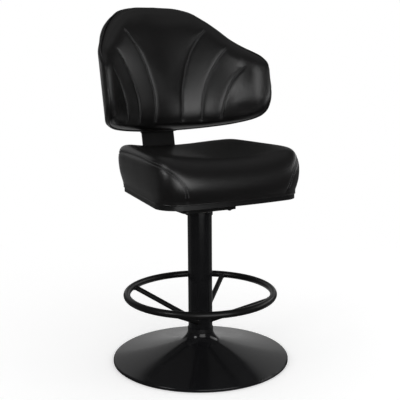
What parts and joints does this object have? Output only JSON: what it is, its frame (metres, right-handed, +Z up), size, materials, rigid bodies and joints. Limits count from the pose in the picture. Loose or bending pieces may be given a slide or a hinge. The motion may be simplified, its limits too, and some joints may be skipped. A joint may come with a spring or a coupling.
{
  "type": "gaming stool",
  "caption": "Tall swivel stool with a winged padded back, padded seat, trumpet base, column and a round foot ring on spokes.",
  "frame": {"origin": "on the floor, under the column's axis", "axes": "+Z up the column, the sitter faces -Y, +X to the sitter's left"},
  "size_m": [0.5312, 0.6204, 1.0261],
  "materials": {
    "gloss_black": "gloss",
    "satin_black": "satin",
    "collar_black": "satin",
    "floor_rubber": "matte",
    "iron": "matte",
    "fastener_steel": "satin",
    "bearing_plastic": "matte",
    "pan_plastic": "satin",
    "plywood": "matte",
    "black_vinyl": "satin"
  },
  "bodies": {
    "base": {"floor_pad": "floor_rubber", "base_weight": "iron", "base_cover": "gloss_black", "base_bolt": "fastener_steel", "base_washer": "fastener_steel", "turn_pins": "fastener_steel", "column_tube": "gloss_black", "column_plug": "fastener_steel", "neck_collar": "collar_black", "foot_ring": "gloss_black", "spoke_rear_left": "gloss_black", "spoke_rear_right": "gloss_black", "spoke_front_right": "gloss_black", "spoke_front_left": "gloss_black", "bearing_housing": "gloss_black", "upper_bush": "bearing_plastic", "lower_bush": "bearing_plastic", "thrust_washer": "bearing_plastic"},
    "seat": {"swivel_spindle": "fastener_steel", "retaining_washer": "fastener_steel", "spindle_nut": "fastener_steel", "swivel_plate": "satin_black", "plate_bolts": "fastener_steel", "plate_washers": "fastener_steel", "seat_tee_nuts": "fastener_steel", "seat_pan": "pan_plastic", "packing_block": "plywood", "seat_board": "plywood", "pan_screws": "fastener_steel", "seat_cushion": "black_vinyl", "back_strap": "satin_black", "strap_bolts": "fastener_steel", "strap_washers": "fastener_steel", "backrest_cushion": "black_vinyl", "backrest_board": "plywood", "backrest_tee_nuts": "fastener_steel", "backrest_packer": "plywood", "backrest_bolts": "fastener_steel", "backrest_rear_pad": "black_vinyl"}
  },
  "joints": [
    {"name": "seat_swivel", "type": "hinge", "parent": "base", "child": "seat", "pos_m": [0, 0, 0.44], "axis": [0, 0, 1], "continuous": true}
  ]
}
